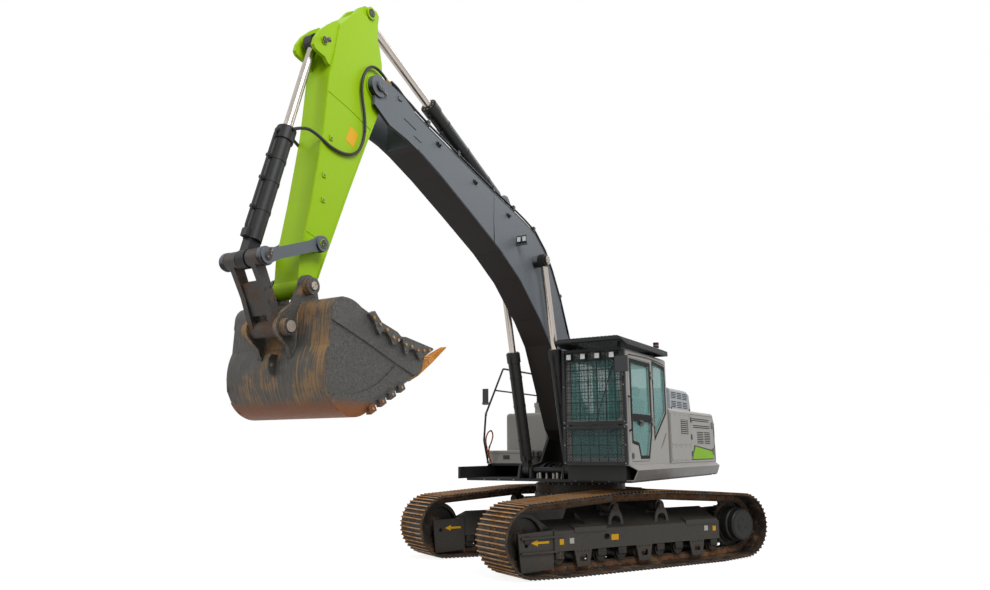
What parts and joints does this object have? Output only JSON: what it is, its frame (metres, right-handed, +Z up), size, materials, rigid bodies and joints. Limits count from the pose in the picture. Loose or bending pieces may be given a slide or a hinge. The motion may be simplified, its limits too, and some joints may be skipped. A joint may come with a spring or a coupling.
{
  "type": "crawler excavator",
  "caption": "Large crawler excavator with a guarded cab, boom, arm and bucket linkage, its upper works slewed by 28 degrees over the tracks.",
  "frame": {"origin": "centre of the part's bounding box in plan, on the ground under the tracks", "axes": "+X forwards along the upper works towards the bucket, +Y to the driver's left, +Z up"},
  "size_m": [10.8848, 5.404, 6.9148],
  "materials": {
    "frame_paint": "satin",
    "machined_steel": "satin",
    "track_steel": "matte",
    "wheel_steel": "satin",
    "house_paint": "satin",
    "hood_paint": "satin",
    "engine_iron": "matte",
    "glass": "gloss",
    "seat_fabric": "matte",
    "guard_steel": "satin",
    "plastic": "satin",
    "boom_paint": "satin",
    "rod_chrome": "gloss",
    "bucket_steel": "matte",
    "tooth_steel": "matte"
  },
  "bodies": {
    "undercarriage": {"carbody": "frame_paint", "slew_ring": "machined_steel", "track_frame_left": "frame_paint", "track_frame_right": "frame_paint", "track_left": "track_steel", "track_right": "track_steel", "idlers": "wheel_steel", "sprockets": "wheel_steel", "final_drives": "frame_paint", "track_rollers": "wheel_steel", "carrier_rollers": "wheel_steel"},
    "house": {"deck": "frame_paint", "sill_left": "frame_paint", "sill_right": "frame_paint", "counterweight": "house_paint", "engine": "engine_iron", "house": "house_paint", "fuel_tank": "house_paint", "tool_box": "house_paint", "cab": "house_paint", "cab_glass": "glass", "cab_seat": "seat_fabric", "front_guard": "guard_steel", "top_guard": "guard_steel", "mirrors": "plastic", "handrails": "guard_steel"},
    "boom": {"boom": "boom_paint"},
    "arm": {"arm": "boom_paint"},
    "bucket": {"bucket": "bucket_steel", "bucket_teeth": "tooth_steel"},
    "boom_cylinder_barrels": {"lift_barrel": "boom_paint"},
    "boom_cylinder_rods": {"lift_rod": "rod_chrome"},
    "arm_cylinder_barrel": {"crowd_barrel": "boom_paint"},
    "arm_cylinder_rod": {"crowd_rod": "rod_chrome"},
    "bucket_cylinder_barrel": {"curl_barrel": "boom_paint"},
    "bucket_cylinder_rod": {"curl_rod": "rod_chrome"},
    "guide_links": {"guide_links": "boom_paint"},
    "bucket_link": {"bucket_link": "boom_paint"},
    "cab_door": {"cab_door": "house_paint", "door_glass": "glass"},
    "side_door_left": {"side_door_left": "house_paint"},
    "side_door_right": {"side_door_right": "house_paint"},
    "hood": {"hood": "hood_paint"},
    "tool_lid": {"tool_lid": "house_paint"}
  },
  "joints": [
    {"name": "slew", "type": "hinge", "parent": "undercarriage", "child": "house", "pos_m": [-2.01, 0, 1.19], "axis": [0, 0, 1], "continuous": true},
    {"name": "boom_raise", "type": "hinge", "parent": "house", "child": "boom", "pos_m": [-1.81, 0, 2.05], "axis": [0, -1, 0], "range_deg": [-52, 28]},
    {"name": "arm_reach", "type": "hinge", "parent": "boom", "child": "arm", "pos_m": [3.79, 0, 5.87], "axis": [0, 1, 0], "range_deg": [-80, 35]},
    {"name": "bucket_curl", "type": "hinge", "parent": "arm", "child": "bucket", "pos_m": [4.75, 0, 3.32], "axis": [0, 1, 0], "range_deg": [-110, 40]},
    {"name": "boom_cylinder_turn", "type": "hinge", "parent": "house", "child": "boom_cylinder_barrels", "pos_m": [-0.845, 0, 1.425], "axis": [0, -1, 0], "range_deg": [-49.8, 26.91]},
    {"name": "boom_cylinder_stroke", "type": "slide", "parent": "boom_cylinder_barrels", "child": "boom_cylinder_rods", "axis": [0.2424, 0, 0.9702], "range_m": [-0.9812, 0.5293]},
    {"name": "arm_cylinder_turn", "type": "hinge", "parent": "boom", "child": "arm_cylinder_barrel", "pos_m": [0.63, 0, 5.385], "axis": [0, 1, 0], "range_deg": [-2.6, 1.25]},
    {"name": "arm_cylinder_stroke", "type": "slide", "parent": "arm_cylinder_barrel", "child": "arm_cylinder_rod", "axis": [0.913, 0, 0.408], "range_m": [-1.119, 0.4907]},
    {"name": "guide_link_turn", "type": "hinge", "parent": "arm", "child": "guide_links", "pos_m": [4.642, 0, 3.775], "axis": [0, 1, 0], "range_deg": [-79.4, 29]},
    {"name": "bucket_link_turn", "type": "hinge", "parent": "guide_links", "child": "bucket_link", "pos_m": [5.35, 0, 3.5], "axis": [0, 1, 0], "range_deg": [-14.6, 39.8]},
    {"name": "bucket_cylinder_turn", "type": "hinge", "parent": "arm", "child": "bucket_cylinder_rod", "pos_m": [4.62, 0, 6.07], "axis": [0, 1, 0], "range_deg": [-5.7, 2.2]},
    {"name": "bucket_cylinder_stroke", "type": "slide", "parent": "bucket_cylinder_rod", "child": "bucket_cylinder_barrel", "axis": [0.2732, 0, -0.9619], "range_m": [-0.9235, 0.3371]},
    {"name": "cab_door_swing", "type": "hinge", "parent": "house", "child": "cab_door", "pos_m": [-1.516, 1.506, 2.3], "axis": [0, 0, 1], "range_deg": [0, 160]},
    {"name": "side_door_left_swing", "type": "hinge", "parent": "house", "child": "side_door_left", "pos_m": [-4.854, 1.516, 1.95], "axis": [0, 0, 1], "range_deg": [0, 105]},
    {"name": "side_door_right_swing", "type": "hinge", "parent": "house", "child": "side_door_right", "pos_m": [-4.854, -1.516, 1.95], "axis": [0, 0, -1], "range_deg": [0, 105]},
    {"name": "hood_lift", "type": "hinge", "parent": "house", "child": "hood", "pos_m": [-2.01, -0.398, 2.43], "axis": [1, 0, 0], "range_deg": [0, 62]},
    {"name": "tool_lid_lift", "type": "hinge", "parent": "house", "child": "tool_lid", "pos_m": [-2.01, -0.775, 1.71], "axis": [1, 0, 0], "range_deg": [-85, 0]}
  ],
  "couplings": [
    {"joint": "boom_cylinder_turn", "follows": "boom_raise", "ratio": 0.9538},
    {"joint": "boom_cylinder_stroke", "follows": "boom_raise", "m_per_rad": 1.0789},
    {"joint": "arm_cylinder_turn", "follows": "arm_reach", "ratio": 0.03},
    {"joint": "arm_cylinder_stroke", "follows": "arm_reach", "m_per_rad": 0.8},
    {"joint": "guide_link_turn", "follows": "bucket_curl", "ratio": 0.72},
    {"joint": "bucket_link_turn", "follows": "bucket_curl", "ratio": -0.36},
    {"joint": "bucket_cylinder_turn", "follows": "bucket_curl", "ratio": 0.05},
    {"joint": "bucket_cylinder_stroke", "follows": "bucket_curl", "m_per_rad": 0.48}
  ]
}
